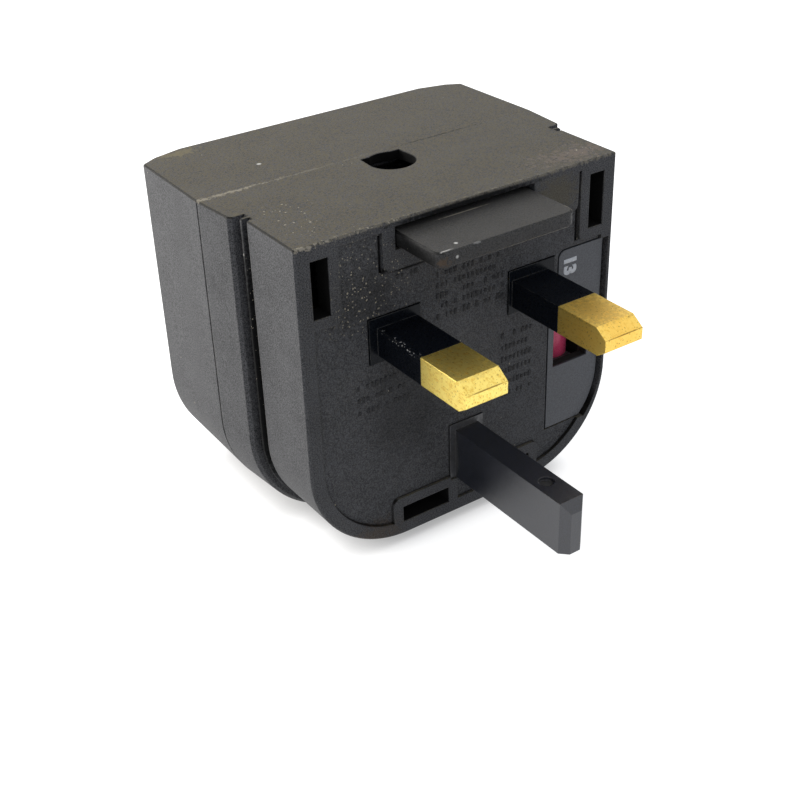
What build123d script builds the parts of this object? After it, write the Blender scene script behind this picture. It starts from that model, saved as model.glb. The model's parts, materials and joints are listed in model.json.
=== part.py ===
from build123d import *
import os

# A fused three-pin conversion adapter, lying on its earth side.
# X runs across the pin face, Y from the pin face into the body, and Z up to the flat side.
# The origin is on the pin face, midway between the live and neutral pins. Sizes are in mm.

# Plug pins, of the 13 A pattern
PIN_PITCH = 22.23
PIN_WIDTH = 6.35
PIN_THICKNESS = 3.97
PIN_REACH = 18.5
PIN_BEVEL_LENGTH = 1.9
PIN_BEVEL_HEIGHT = 1.3
PIN_LOW_BEVEL_LENGTH = 1.5
PIN_LOW_BEVEL_HEIGHT = 1.0
SLEEVE_REACH = 9.2
SLEEVE_WALL = 0.65
TAIL_RADIUS = 1.6
TAIL_LENGTH = 2.4
EARTH_DROP = 22.23
EARTH_WIDTH = 3.97
EARTH_HEIGHT = 7.95
EARTH_REACH = 23.2
EARTH_TIP_LENGTH = 1.1
EARTH_TIP_SIDE = 1.1
EARTH_TIP_ABOVE = 1.5
EARTH_DIMPLE_RADIUS = 1.1
EARTH_DIMPLE_DEPTH = 0.5
EARTH_DIMPLE_FROM_TIP = 6.1

# Collars round the pin roots, and the shoulders that hold them behind the face
COLLAR_OUTER = 1.25
COLLAR_INNER = 0.55
COLLAR_ABOVE = 1.5
COLLAR_BELOW = 1.1
COLLAR_PROUD = 0.2
EARTH_COLLAR_SIDE = 0.9
EARTH_COLLAR_ABOVE = 0.95
SHOULDER = 0.8
SHOULDER_DEPTH = 1.2

# Housing
FLAT_ABOVE_PINS = 16.3
BODY_BELOW_EARTH = 5.8
BODY_BELOW_FUSE = 8.8
FACE_CORNER = 15.3
TOP_CORNER = 0.2
EDGE_BEVEL = 0.25
FACE_DEPTH = 11.3
NECK_LENGTH = 2.2
NECK_SUNK = 0.7
RIB_FROM_FACE = 0.8
RIB_WIDTH = 0.45
RIB_PROUD = 0.3
FLANGE_EDGE = 0.5
STEP_OUT = 1.4
STEP_DOWN = 1.5
FLAT_FOOT = 0.1
FLARE = 0.6
SEAM_DEPTH = 21.0
SEAM_GROOVE = 0.3
REAR_TAPER = 0.3
BODY_DEPTH = 39.8
BACK_CHAMFER_DEPTH = 2.3
BACK_CHAMFER_SIDE = 6.5
BACK_CHAMFER_BELOW = 2.3
BACK_CROWN_DEPTH = 1.1
BACK_CROWN_SIDE = 4.4
BACK_CROWN_BELOW = 1.2
WALL = 2.1
FACE_WALL = 3.0
FACE_SUNK = 0.5
RIM = 2.1
TOP_RIM = 1.2

# Snap arms, their slots in the pin face and the frames round the slots
SNAP_WIDTH = 2.6
SNAP_LENGTH = 8.0
SNAP_FROM_MIDDLE = 3.4
SNAP_FRAME = 1.55
SNAP_FRAME_CORNER = 1.0
SNAP_GAP = 0.15
ARM_THICKNESS = 1.3
NOSE_FROM_FACE = 4.5
NOSE_LENGTH = 2.5
LEDGE_REACH = 1.05
LEDGE_LENGTH = 2.0
ARM_ROOT_LENGTH = 3.5

# Locking tab, the raised panel round its slot, and the tool hole that frees it
TAB_WIDTH = 21.9
TAB_THICKNESS = 2.1
TAB_REACH = 8.8
TAB_INSIDE = 12.0
TAB_BELOW_FLAT = 1.65
TAB_CORNER = 1.5
TAB_EDGE = 0.25
TAB_EAR = 1.6
TAB_EAR_LENGTH = 2.5
TAB_ROOM_ABOVE = 0.8
RELEASE_WIDTH = 5.0
RELEASE_LENGTH = 3.0
RELEASE_FROM_END = 1.6
SHELF_WIDTH = 2.0
SHELF_HEIGHT = 1.3
SHELF_FROM_EDGE = 0.3
PANEL_MARGIN = 1.9
PANEL_BELOW = 2.75
PANEL_CORNER = 1.0
PANEL_GROOVE = 0.45
PANEL_GROOVE_DEPTH = 0.5
TOOL_HOLE_WIDTH = 6.8
TOOL_HOLE_BACK_WIDTH = 6.4
TOOL_HOLE_DEPTH = 6.35
TOOL_HOLE_BEFORE_SEAM = 1.05

# Fuse and its carrier
FUSE_DIAMETER = 6.35
FUSE_LENGTH = 25.4
FUSE_CAP_LENGTH = 6.0
FUSE_CAP_WALL = 0.25
FUSE_BEHIND_PLATE = 0.9
FUSE_POCKET_WALL = 1.0
COLLAR_TO_CARRIER = 0.65
CARRIER_WIDER_BELOW = 1.5
CARRIER_NOTCH_BELOW_COLLAR = 0.9
CARRIER_TOP = 4.0
CARRIER_RIGHT_OF_FUSE = 2.37
CARRIER_LIP = 0.7
CARRIER_CORNER = 12.0
CARRIER_RIM_BELOW = 3.1
CARRIER_TOP_ROUND = 1.2
CARRIER_PLATE = 1.6
CARRIER_PLATE_GAP = 0.25
CARRIER_BEVEL = 0.4
CARRIER_END_WALL = 1.55
CARRIER_END_WIDTH = 4.0
CARRIER_END_OVERLAP = 1.0
SADDLE_THICKNESS = 1.2
SADDLE_DEPTH = 1.6
WINDOW_WIDTH = 6.5
WINDOW_HEIGHT = 8.2
WINDOW_FROM_EDGE = 1.26

# Brass strips and fuse clips
STRIP = 0.8
STRIP_WIDTH = 3.6
JAW_THICKNESS = 0.5
JAW_GAP = 0.2
JAW_LENGTH = 5.0
LOAD_CLIP_FROM_END = 4.4
EYELET_WALL = 1.4

# Socket recess at the back, and the contacts behind its floor
RECESS_RADIUS = 19.75
RECESS_DEPTH = 12.0
RECESS_LEAD_IN = 0.8
CUP_WALL = 1.8
CUP_FLOOR = 2.0
CONTACT_PITCH = 19.0
CONTACT_BORE = 2.5
CONTACT_HOLE = 2.7
CONTACT_WALL = 0.8
CONTACT_LENGTH = 12.0
CONTACT_BEFORE_STRIP = 0.9
SLIT = 0.8
SLIT_LENGTH = 7.5
RING_WALL = 0.6
RING_WIDTH = 2.2
RING_OPENING = 1.2
RING_FROM_END = 1.2

# Insert that carries the contacts
INSERT_THICKNESS = 2.5
INSERT_TOP = 5.0
INSERT_BELOW_EARTH = 2.8
INSERT_CORNER = 10.0
INSERT_GAP = 0.4
BOSS_WALL = 2.6
BOSS_LENGTH = 3.1
GUIDE_WALL = 1.6
PILLAR_WIDTH = 3.0
PILLAR_HEIGHT = 5.0
POST_RADIUS = 2.2
POST_FROM_MIDDLE = 9.0

# Clearances
SEAT_GAP = 0.1
MOVING_GAP = 0.2
TAB_GAP = 0.3

# Places worked out from the sizes above
live_x = PIN_PITCH / 2
earth_z = -EARTH_DROP
earth_low = earth_z - EARTH_HEIGHT / 2
collar_right = live_x + PIN_WIDTH / 2 + COLLAR_OUTER
collar_low = -PIN_THICKNESS / 2 - COLLAR_BELOW
opening_left = collar_right + COLLAR_TO_CARRIER
opening_wide_left = opening_left - CARRIER_WIDER_BELOW
notch_z = collar_low - CARRIER_NOTCH_BELOW_COLLAR
fuse_radius = FUSE_DIAMETER / 2
fuse_x = opening_left + MOVING_GAP + fuse_radius
opening_right = fuse_x + fuse_radius + CARRIER_RIGHT_OF_FUSE
fuse_top = CARRIER_TOP - MOVING_GAP - CARRIER_END_WALL
fuse_low = fuse_top - FUSE_LENGTH
fuse_z = (fuse_top + fuse_low) / 2
opening_low = fuse_low - CARRIER_END_WALL - MOVING_GAP
plate_back = FACE_SUNK + CARRIER_PLATE
fuse_y = plate_back + FUSE_BEHIND_PLATE + fuse_radius
strip_y = fuse_y + fuse_radius + JAW_GAP
insert_front = strip_y + STRIP
insert_back = insert_front + INSERT_THICKNESS
boss_end = insert_back + BOSS_LENGTH
collar_front = FACE_SUNK - COLLAR_PROUD
shoulder_back = FACE_WALL + SHOULDER_DEPTH

flat_z = FLAT_ABOVE_PINS
face_half = opening_right + CARRIER_LIP
face_low = min(earth_low - BODY_BELOW_EARTH, fuse_low - BODY_BELOW_FUSE)
flange_half = face_half + STEP_OUT
flange_low = face_low - STEP_DOWN
curve_low = flange_low - FLAT_FOOT
flange_corner = FACE_CORNER + STEP_OUT
rib_depth = FACE_DEPTH + RIB_FROM_FACE
flange_depth = FACE_DEPTH + NECK_LENGTH
seam_half = flange_half + FLARE
back_half = seam_half - REAR_TAPER
chamfer_depth = BODY_DEPTH - BACK_CHAMFER_DEPTH
crown_depth = BODY_DEPTH - BACK_CROWN_DEPTH
recess_z = (flat_z + flange_low) / 2
floor_back = BODY_DEPTH - RECESS_DEPTH
floor_front = floor_back - CUP_FLOOR
contact_x = CONTACT_PITCH / 2
contact_radius = CONTACT_BORE + CONTACT_WALL
contact_front = strip_y - CONTACT_BEFORE_STRIP
contact_back = contact_front + CONTACT_LENGTH
boss_radius = contact_radius + BOSS_WALL
guide_bore = boss_radius - GUIDE_WALL

tab_half = TAB_WIDTH / 2
tab_high = flat_z - TAB_BELOW_FLAT
tab_low = tab_high - TAB_THICKNESS
slot_half = tab_half + TAB_GAP
slot_high = tab_high + TAB_ROOM_ABOVE
slot_low = tab_low - TAB_GAP
ear_front = FACE_WALL + TAB_GAP

# Each snap slot by the middle of its edge along the wall, and its turn about Y
wall_x = face_half - WALL
wall_low = face_low + WALL
side_snap_z = flat_z - WALL - SNAP_LENGTH / 2
low_snap_x = SNAP_FROM_MIDDLE + SNAP_LENGTH / 2
frame_half = SNAP_LENGTH / 2 + SNAP_FRAME
SNAPS = [
    (wall_x, side_snap_z, 90),
    (-wall_x, side_snap_z, -90),
    (low_snap_x, wall_low, 0),
    (-low_snap_x, wall_low, 0),
]

# The raised panel reaches across to the frame of the snap slot beside it
panel_left = -slot_half - PANEL_MARGIN
panel_right = wall_x - SNAP_WIDTH - SNAP_FRAME - PANEL_GROOVE
panel_low = slot_low - PANEL_BELOW


def prism(sketch, front, back):
    """Fill a sketch, drawn as the pin face is seen, from one depth to another."""
    plane = Plane(origin=(0, back, 0), x_dir=(1, 0, 0), z_dir=(0, -1, 0))
    return extrude(plane * sketch, back - front)


def taper(sketch_front, sketch_back, front, back):
    """Blend one outline into another between two depths."""
    sections = []
    for sketch, depth in ((sketch_front, front), (sketch_back, back)):
        plane = Plane(origin=(0, depth, 0), x_dir=(1, 0, 0), z_dir=(0, -1, 0))
        sections.append(plane * sketch)
    return loft(sections, ruled=True)


def sheet(sketch, low, high):
    """Fill a sketch, drawn in plan, from one height to another."""
    return extrude(Plane.XY.offset(low) * sketch, high - low)


def rect(left, right, low, high, corner=0):
    shape = Pos((left + right) / 2, (low + high) / 2) * Rectangle(right - left, high - low)
    if corner:
        shape = fillet(shape.vertices(), corner)
    return shape


def disc(x, z, radius):
    return Pos(x, z) * Circle(radius)


def bar(end_a, end_b):
    """The outline round two discs, each given as x, z and radius."""
    return make_hull(disc(*end_a).edges() + disc(*end_b).edges())


def body_outline(half, top, low, corner):
    """Flat above and on its sides, with bevelled upper corners and round lower ones."""
    shape = rect(-half, half, low, top)
    corners = shape.vertices().sort_by(Axis.Y)
    shape = fillet(corners[:2], corner)
    return chamfer(shape.vertices().sort_by(Axis.Y)[-2:], TOP_CORNER)


def at_snap(snap, sketch):
    """Put a sketch at a snap slot, with its up pointing away from the wall."""
    x, z, turn = snap
    return Pos(x, z) * Rot(0, 0, turn) * sketch


def snap_band(inner, outer, spare=0):
    """A strip along a snap slot, between two distances from the wall."""
    half = SNAP_LENGTH / 2 + spare
    return rect(-half, half, inner, outer)


def carrier_outline(gap):
    """The fuse carrier: narrower beside the live collar, and round like the rim at its lower right."""
    block = rect(opening_left + gap, opening_right - gap, opening_low + gap, CARRIER_TOP - gap)
    upper_left = block.vertices().sort_by(Axis.Y)[-2:].sort_by(Axis.X)[0]
    block = fillet(upper_left, CARRIER_TOP_ROUND)
    block += rect(opening_wide_left + gap, fuse_x, opening_low + gap, notch_z - gap)
    rim_low = face_low + CARRIER_RIM_BELOW + gap
    return block & body_outline(opening_right - gap, flat_z, rim_low, CARRIER_CORNER - gap)


def collar_outline(side, grow, shoulder=0):
    """The live collar, or the neutral one at side -1. It is widest away from the middle."""
    inner = live_x - PIN_WIDTH / 2 - COLLAR_INNER - shoulder - grow
    left, right = sorted((side * inner, side * (collar_right + grow)))
    high = PIN_THICKNESS / 2 + COLLAR_ABOVE + shoulder + grow
    return rect(left, right, collar_low - shoulder - grow, high)


def earth_collar_outline(grow, shoulder=0):
    half = EARTH_WIDTH / 2 + EARTH_COLLAR_SIDE + shoulder + grow
    high = earth_z + EARTH_HEIGHT / 2 + EARTH_COLLAR_ABOVE + shoulder + grow
    return rect(-half, half, earth_low - grow, high)


def pin_section(pin_x, inset=0):
    width = PIN_WIDTH - 2 * inset
    return Pos(pin_x, 0) * Rectangle(width, PIN_THICKNESS - 2 * inset)


def seam_ring(front, back):
    """The shallow groove that shows as a line down both sides, where the two halves meet."""
    inner = body_outline(
        seam_half - SEAM_GROOVE, flat_z - SEAM_GROOVE, flange_low + SEAM_GROOVE, flange_corner - SEAM_GROOVE
    )
    outer = rect(-seam_half - WALL, seam_half + WALL, flange_low - WALL, flat_z - TOP_CORNER)
    return prism(outer - inner, front, back)


def below_foot(front, back):
    """What is cut away under the flat that the adapter lies on."""
    return prism(rect(-seam_half, seam_half, curve_low - WALL, flange_low), front, back)


def front_shell():
    """The pin-face half: a narrow front, a neck with a thin rib, and a flange that flares to the seam."""
    face = body_outline(face_half, flat_z, face_low, FACE_CORNER)
    neck = body_outline(face_half - NECK_SUNK, flat_z, face_low + NECK_SUNK, FACE_CORNER - NECK_SUNK)
    rib = body_outline(face_half + RIB_PROUD, flat_z, face_low - RIB_PROUD, FACE_CORNER + RIB_PROUD)
    flange_front = body_outline(
        flange_half - FLANGE_EDGE, flat_z, curve_low + FLANGE_EDGE, flange_corner - FLANGE_EDGE
    )
    flange = body_outline(flange_half, flat_z, curve_low, flange_corner)
    seam = body_outline(seam_half, flat_z, curve_low, flange_corner)
    nose = prism(face, 0, FACE_DEPTH)
    nose = chamfer(nose.faces().sort_by(Axis.Y)[0].edges(), EDGE_BEVEL)
    shell = nose + prism(neck, FACE_DEPTH, flange_depth)
    shell += prism(rib, rib_depth, rib_depth + RIB_WIDTH)
    shell += taper(flange_front, flange, flange_depth, flange_depth + FLANGE_EDGE)
    shell += taper(flange, seam, flange_depth + FLANGE_EDGE, SEAM_DEPTH)
    shell -= below_foot(flange_depth, SEAM_DEPTH)
    room = body_outline(wall_x, flat_z - WALL, wall_low, FACE_CORNER - WALL)
    wide_room = body_outline(
        flange_half - WALL, flat_z - WALL, flange_low + WALL, flange_corner - WALL
    )
    shell -= prism(room, FACE_WALL, SEAM_DEPTH)
    shell -= prism(wide_room, flange_depth + WALL, SEAM_DEPTH)
    return shell - seam_ring(SEAM_DEPTH - SEAM_GROOVE / 2, SEAM_DEPTH)


def sunk_face():
    """What is sunk inside the rim: all but the frames of the snap slots and the tab's panel."""
    sunk = body_outline(face_half - RIM, flat_z - TOP_RIM, face_low + RIM, FACE_CORNER - RIM)
    for snap in SNAPS:
        frame = rect(-frame_half, frame_half, -WALL - RIM, SNAP_WIDTH + SNAP_FRAME, SNAP_FRAME_CORNER)
        sunk -= at_snap(snap, frame)
    return sunk - rect(panel_left, panel_right, panel_low, flat_z, PANEL_CORNER)


def tool_hole():
    """Straight at the back, wider in the middle and round towards the pins, as seen in plan."""
    radius = TOOL_HOLE_WIDTH / 2
    back_half_width = TOOL_HOLE_BACK_WIDTH / 2
    back_y = SEAM_DEPTH - TOOL_HOLE_BEFORE_SEAM
    round_y = back_y - TOOL_HOLE_DEPTH + radius
    sides = Polygon(
        (-radius, round_y),
        (radius, round_y),
        (back_half_width, back_y),
        (-back_half_width, back_y),
        align=None,
    )
    return sides + disc(0, round_y, radius)


def front_housing():
    shell = front_shell()
    shell -= prism(sunk_face(), -FACE_SUNK, FACE_SUNK)
    # Narrow grooves down both ends of the raised panel
    frame_low = side_snap_z - frame_half
    for left, low in ((panel_left - PANEL_GROOVE, panel_low), (panel_right, frame_low)):
        groove = rect(left, left + PANEL_GROOVE, low, tab_high)
        shell -= prism(groove, 0, FACE_SUNK + PANEL_GROOVE_DEPTH)
    # Slots for the snap arms, with the ledges that their noses catch
    for snap in SNAPS:
        shell -= prism(at_snap(snap, snap_band(0, SNAP_WIDTH)), 0, FACE_WALL)
        ledge_front = NOSE_FROM_FACE + NOSE_LENGTH + SNAP_GAP
        ledge = at_snap(snap, snap_band(-WALL / 2, LEDGE_REACH, -SNAP_GAP))
        shell += prism(ledge, ledge_front, ledge_front + LEDGE_LENGTH)
    # Openings for the pins' collars
    for side in (-1, 1):
        shell -= prism(collar_outline(side, SEAT_GAP), 0, FACE_WALL)
    shell -= prism(earth_collar_outline(SEAT_GAP), 0, FACE_WALL)
    # The fuse carrier's plate drops on a ledge, and the fuse passes through behind it
    opening = carrier_outline(0)
    shell -= prism(opening, 0, plate_back + SEAT_GAP)
    fuse_room = fuse_radius + MOVING_GAP
    fuse_way = rect(fuse_x - fuse_room, fuse_x + fuse_room, opening_low, CARRIER_TOP)
    shell -= prism(opening & fuse_way, 0, FACE_WALL)
    # The wall is thinner beside the fuse and its clips
    thin_wall = body_outline(
        face_half - FUSE_POCKET_WALL, flat_z, face_low + FUSE_POCKET_WALL, FACE_CORNER - FUSE_POCKET_WALL
    )
    pocket = rect(fuse_x, face_half, opening_low, CARRIER_TOP)
    shell -= prism(pocket & thin_wall, FACE_WALL, insert_front)
    # The locking tab's slot, its way along the flat side, and the shelves under it
    shell -= prism(rect(-slot_half, slot_half, slot_low, slot_high), 0, FACE_WALL)
    way_half = slot_half + TAB_EAR
    shell -= prism(rect(-way_half, way_half, slot_low, tab_high + TAB_GAP), FACE_WALL, SEAM_DEPTH)
    for side in (-1, 1):
        shelf_x = side * (tab_half - SHELF_FROM_EDGE - SHELF_WIDTH / 2)
        shelf = Pos(shelf_x, slot_low - SHELF_HEIGHT / 2) * Rectangle(SHELF_WIDTH, SHELF_HEIGHT)
        shell += prism(shelf, FACE_WALL - FACE_SUNK, TAB_INSIDE)
        post = disc(side * POST_FROM_MIDDLE, earth_z, POST_RADIUS)
        shell += prism(post, FACE_WALL - FACE_SUNK, insert_front)
    return shell - sheet(tool_hole(), slot_low, flat_z + WALL)


def rear_shell():
    """The socket half's outside, tapered a little and crowned at the back, and the room in it."""
    crown_half = back_half - BACK_CHAMFER_SIDE + BACK_CROWN_SIDE
    crown_below = BACK_CHAMFER_BELOW - BACK_CROWN_BELOW
    end_half = back_half - BACK_CHAMFER_SIDE
    end_corner = flange_corner - BACK_CHAMFER_BELOW
    seam = body_outline(seam_half, flat_z, curve_low, flange_corner)
    back = body_outline(back_half, flat_z, curve_low, flange_corner)
    crown = body_outline(crown_half, flat_z, curve_low + crown_below, flange_corner - crown_below)
    end = body_outline(end_half, flat_z, curve_low + BACK_CHAMFER_BELOW, end_corner)
    shell = taper(seam, back, SEAM_DEPTH, chamfer_depth)
    shell += taper(back, crown, chamfer_depth, crown_depth)
    shell += taper(crown, end, crown_depth, BODY_DEPTH)
    shell -= below_foot(SEAM_DEPTH, BODY_DEPTH)
    room = body_outline(back_half - WALL, flat_z - WALL, flange_low + WALL, flange_corner - WALL)
    shell -= prism(room, SEAM_DEPTH, chamfer_depth)
    return shell - seam_ring(SEAM_DEPTH, SEAM_DEPTH + SEAM_GROOVE / 2)


def rear_housing():
    """The socket half: a shell with a round recess, and snap arms that reach forward."""
    shell = rear_shell()
    # Snap arms, each on a root that joins it to the wall
    arm_outer = SNAP_WIDTH - SNAP_GAP
    root_front = SEAM_DEPTH + SEAM_GROOVE
    for snap in SNAPS:
        arm = at_snap(snap, snap_band(arm_outer - ARM_THICKNESS, arm_outer, -2 * SNAP_GAP))
        nose = at_snap(snap, snap_band(SNAP_GAP, arm_outer, -2 * SNAP_GAP))
        root = at_snap(snap, snap_band(-STEP_OUT - FLARE - WALL / 4, arm_outer, -2 * SNAP_GAP))
        shell += prism(arm, NOSE_FROM_FACE, root_front + ARM_ROOT_LENGTH)
        shell += prism(nose, NOSE_FROM_FACE, NOSE_FROM_FACE + NOSE_LENGTH)
        shell += prism(root, root_front, root_front + ARM_ROOT_LENGTH)
    # The recess stands in the shell as a cup
    shell += prism(disc(0, recess_z, RECESS_RADIUS + CUP_WALL), floor_front, chamfer_depth + CUP_WALL / 2)
    for side in (-1, 1):
        shell += prism(disc(side * contact_x, recess_z, boss_radius), boss_end, floor_front)
    shell -= prism(disc(0, recess_z, RECESS_RADIUS), floor_back, BODY_DEPTH)
    lead_in = Cone(RECESS_RADIUS + RECESS_LEAD_IN, RECESS_RADIUS, RECESS_LEAD_IN)
    shell -= Pos(0, BODY_DEPTH - RECESS_LEAD_IN / 2, recess_z) * Rot(90, 0, 0) * lead_in
    for side in (-1, 1):
        shell -= prism(disc(side * contact_x, recess_z, guide_bore), boss_end, floor_front)
        shell -= prism(disc(side * contact_x, recess_z, CONTACT_HOLE), floor_front, floor_back)
    return shell


def power_pin(pin_x):
    """A brass pin: bevelled blade, neck inside the sleeve, block behind it, and riveted tail."""
    half = PIN_THICKNESS / 2
    blade = Polygon(
        (-PIN_REACH, -half + PIN_LOW_BEVEL_HEIGHT),
        (-PIN_REACH + PIN_LOW_BEVEL_LENGTH, -half),
        (-SLEEVE_REACH, -half),
        (-SLEEVE_REACH, half),
        (-PIN_REACH + PIN_BEVEL_LENGTH, half),
        (-PIN_REACH, half - PIN_BEVEL_HEIGHT),
        align=None,
    )
    pin = Pos(pin_x, 0, 0) * extrude(Plane.YZ * blade, PIN_WIDTH / 2, both=True)
    pin += prism(pin_section(pin_x, SLEEVE_WALL), -SLEEVE_REACH, shoulder_back)
    pin += prism(pin_section(pin_x), shoulder_back, strip_y)
    return pin + prism(disc(pin_x, 0, TAIL_RADIUS), strip_y, strip_y + TAIL_LENGTH)


def pin_sleeve(side):
    pin_x = side * live_x
    sleeve = prism(pin_section(pin_x), -SLEEVE_REACH, shoulder_back)
    sleeve += prism(collar_outline(side, 0), collar_front, FACE_WALL)
    sleeve += prism(collar_outline(side, 0, SHOULDER), FACE_WALL, shoulder_back)
    return sleeve - prism(pin_section(pin_x, SLEEVE_WALL), -SLEEVE_REACH, shoulder_back)


def earth_pin():
    """The plastic earth pin, which only opens the wall socket's shutters."""
    half = EARTH_WIDTH / 2
    earth_high = earth_z + EARTH_HEIGHT / 2
    section = rect(-half, half, earth_low, earth_high)
    tip_half = half - EARTH_TIP_SIDE
    tip = rect(-tip_half, tip_half, earth_low, earth_high - EARTH_TIP_ABOVE)
    tip_start = -EARTH_REACH + EARTH_TIP_LENGTH
    pin = prism(section, tip_start, FACE_WALL)
    pin += taper(tip, section, -EARTH_REACH, tip_start)
    dimple_y = -EARTH_REACH + EARTH_DIMPLE_FROM_TIP
    pin -= sheet(disc(0, dimple_y, EARTH_DIMPLE_RADIUS), earth_high - EARTH_DIMPLE_DEPTH, earth_high)
    pin += prism(earth_collar_outline(0), collar_front, FACE_WALL)
    return pin + prism(earth_collar_outline(0, SHOULDER), FACE_WALL, shoulder_back)


def locking_tab():
    """A flat tab that is pushed in to lock. Its ears stop it from coming right out."""
    plan = rect(-tab_half, tab_half, -TAB_REACH, TAB_INSIDE)
    plan = fillet(plan.vertices().sort_by(Axis.Y)[:2], TAB_CORNER)
    tab = sheet(plan, tab_low, tab_high)
    by_height = tab.faces().sort_by(Axis.Z)
    tab = chamfer(by_height[0].edges() + by_height[-1].edges(), TAB_EDGE)
    ear_half = tab_half + TAB_EAR
    ears = rect(-ear_half, ear_half, ear_front, ear_front + TAB_EAR_LENGTH)
    tab += sheet(ears, tab_low + TAB_EDGE, tab_high - TAB_EDGE)
    release_back = TAB_INSIDE - RELEASE_FROM_END
    release = rect(-RELEASE_WIDTH / 2, RELEASE_WIDTH / 2, release_back - RELEASE_LENGTH, release_back)
    return tab - sheet(release, tab_low, tab_high)


def fuse_rod(radius, low, high):
    return Pos(fuse_x, fuse_y, (low + high) / 2) * Cylinder(radius, high - low)


def fuse_barrel():
    barrel_radius = fuse_radius - FUSE_CAP_WALL
    return fuse_rod(barrel_radius, fuse_low + FUSE_CAP_WALL, fuse_top - FUSE_CAP_WALL)


def fuse_cap_upper():
    cap = fuse_rod(fuse_radius, fuse_top - FUSE_CAP_LENGTH, fuse_top)
    return cap - fuse_barrel()


def fuse_cap_lower():
    cap = fuse_rod(fuse_radius, fuse_low, fuse_low + FUSE_CAP_LENGTH)
    return cap - fuse_barrel()


def carrier_plate():
    """The plate that shows, bevelled along the rim, with the window in front of the fuse."""
    plate = prism(carrier_outline(CARRIER_PLATE_GAP), FACE_SUNK, plate_back)
    front = plate.faces().sort_by(Axis.Y)[0]
    rim_edges = [edge for edge in front.edges() if edge.center().X > fuse_x + fuse_radius]
    plate = chamfer(rim_edges, CARRIER_BEVEL)
    window_left = opening_wide_left + WINDOW_FROM_EDGE
    window_half = WINDOW_HEIGHT / 2
    window = rect(window_left, window_left + WINDOW_WIDTH, fuse_z - window_half, fuse_z + window_half)
    return plate - prism(window, FACE_SUNK, plate_back)


def fuse_carrier():
    """The plate, with two end walls and two saddles that hold the fuse."""
    carrier = carrier_plate()
    end_half = CARRIER_END_WIDTH / 2
    end_back = fuse_y + CARRIER_END_OVERLAP
    for low in (fuse_top, fuse_low - CARRIER_END_WALL):
        end = rect(fuse_x - end_half, fuse_x + end_half, low, low + CARRIER_END_WALL)
        carrier += prism(end, plate_back, end_back)
    saddle_back = plate_back + FUSE_BEHIND_PLATE + SADDLE_DEPTH
    for side in (-1, 1):
        saddle_z = fuse_z + side * (WINDOW_HEIGHT / 2 + SADDLE_THICKNESS)
        saddle = Pos(fuse_x, saddle_z) * Rectangle(CARRIER_END_WIDTH, SADDLE_THICKNESS)
        carrier += prism(saddle, plate_back, saddle_back)
    return carrier - fuse_barrel()


def clip_jaws(middle_z):
    """Two flat jaws that stand forward from a strip, one on each side of a fuse cap."""
    near = fuse_radius + JAW_GAP
    left = Pos(-near - JAW_THICKNESS / 2, 0) * Rectangle(JAW_THICKNESS, STRIP_WIDTH)
    right = Pos(near + JAW_THICKNESS / 2, 0) * Rectangle(JAW_THICKNESS, STRIP_WIDTH)
    return prism(Pos(fuse_x, middle_z) * (left + right), strip_y - JAW_LENGTH, strip_y)


def clip_base(middle_z):
    half = fuse_radius + JAW_GAP + JAW_THICKNESS
    return rect(fuse_x - half, fuse_x + half, middle_z - STRIP_WIDTH / 2, middle_z + STRIP_WIDTH / 2)


def live_fuse_clip():
    """The strip from the live pin to the upper end of the fuse."""
    pin_end = disc(live_x, 0, STRIP_WIDTH / 2) + rect(live_x, fuse_x, -STRIP_WIDTH / 2, STRIP_WIDTH / 2)
    flat = pin_end + clip_base(0) - disc(live_x, 0, TAIL_RADIUS)
    return prism(flat, strip_y, insert_front) + clip_jaws(0)


def load_fuse_clip():
    """The strip from the lower end of the fuse to the live contact."""
    clip_z = fuse_low + LOAD_CLIP_FROM_END
    start = (fuse_x - fuse_radius, clip_z, STRIP_WIDTH / 2)
    eyelet = (contact_x, recess_z, contact_radius + EYELET_WALL)
    flat = bar(start, eyelet) + clip_base(clip_z) - disc(contact_x, recess_z, contact_radius)
    return prism(flat, strip_y, insert_front) + clip_jaws(clip_z)


def neutral_link():
    """The strip from the neutral pin to the neutral contact."""
    pin_end = (-live_x, 0, TAIL_RADIUS + EYELET_WALL)
    eyelet = (-contact_x, recess_z, contact_radius + EYELET_WALL)
    flat = bar(pin_end, eyelet) - disc(-live_x, 0, TAIL_RADIUS)
    flat -= disc(-contact_x, recess_z, contact_radius)
    return prism(flat, strip_y, insert_front)


def contact_tube(side):
    """A brass tube, slit from its mouth so that it springs onto a round pin."""
    x = side * contact_x
    tube = prism(disc(x, recess_z, contact_radius) - disc(x, recess_z, CONTACT_BORE), contact_front, contact_back)
    slit = Pos(x, recess_z) * Rectangle(SLIT, 2 * boss_radius)
    return tube - prism(slit, contact_back - SLIT_LENGTH, contact_back)


def contact_ring(side):
    """A split steel ring that keeps the contact closed."""
    x = side * contact_x
    ring = disc(x, recess_z, contact_radius + RING_WALL) - disc(x, recess_z, contact_radius)
    ring -= Pos(x + side * contact_radius, recess_z) * Rectangle(contact_radius, RING_OPENING)
    ring_back = contact_back - RING_FROM_END
    return prism(ring, ring_back - RING_WIDTH, ring_back)


def contact_insert():
    """The inner moulding that backs the strips and holds both contacts."""
    half = wall_x - INSERT_GAP
    outline = body_outline(half, INSERT_TOP, earth_z - INSERT_BELOW_EARTH, INSERT_CORNER)
    insert = prism(outline, insert_front, insert_back)
    for side in (-1, 1):
        insert += prism(disc(side * contact_x, recess_z, boss_radius), insert_back, boss_end)
        insert -= prism(disc(side * contact_x, recess_z, contact_radius), insert_front, boss_end)
        insert -= prism(disc(side * live_x, 0, TAIL_RADIUS), insert_front, insert_back)
    pillar = Pos(0, earth_z) * Rectangle(PILLAR_WIDTH, PILLAR_HEIGHT)
    return insert + prism(pillar, shoulder_back, insert_front)


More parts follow.
